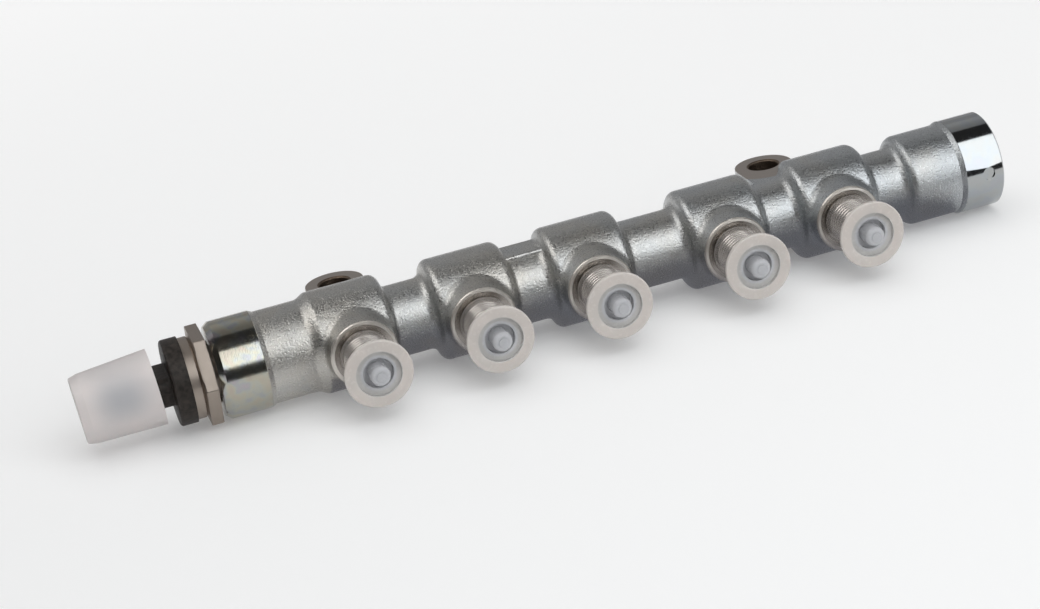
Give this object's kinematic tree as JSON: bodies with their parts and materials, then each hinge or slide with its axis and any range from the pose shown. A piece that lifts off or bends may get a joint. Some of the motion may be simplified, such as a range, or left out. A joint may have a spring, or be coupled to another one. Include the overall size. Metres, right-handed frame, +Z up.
{
  "type": "fuel rail",
  "caption": "Forged tubular high-pressure fuel rail with side ports, mounting lugs, an end pressure sensor and transport caps.",
  "frame": {"origin": "midway between the two mounting holes, on the plane that the lugs seat on", "axes": "+X along the rail from the sensor end to the blind end, -Y along the ports, +Z up along the mounting holes"},
  "size_m": [0.2946, 0.067, 0.0314],
  "materials": {
    "forged_steel": "zinc-plated forging with machined bands",
    "sensor_steel": "satin turned steel",
    "machined_steel": "fine turned steel",
    "black_moulding": "semi-matt moulded",
    "circuit_board": "satin lacquer",
    "contact_brass": "tinned strip",
    "seal_rubber": "matt",
    "sensor_cap_plastic": "milky, slightly see-through",
    "port_cap_plastic": "milky, slightly see-through"
  },
  "bodies": {
    "root": {"circuit_board": "circuit_board", "connector_housing": "black_moulding", "connector_seal": "seal_rubber", "contact_carrier": "black_moulding", "contact_spring_1": "contact_brass", "contact_spring_2": "contact_brass", "contact_spring_3": "contact_brass", "port_cap_1": "port_cap_plastic", "port_cap_2": "port_cap_plastic", "port_cap_3": "port_cap_plastic", "port_cap_4": "port_cap_plastic", "port_cap_5": "port_cap_plastic", "rail_body": "forged_steel", "sensor_cap": "sensor_cap_plastic", "sensor_element": "machined_steel", "sensor_housing": "sensor_steel", "sensor_sleeve": "sensor_steel", "signal_chip": "black_moulding", "terminal_1": "contact_brass", "terminal_2": "contact_brass", "terminal_3": "contact_brass"}
  },
  "joints": []
}
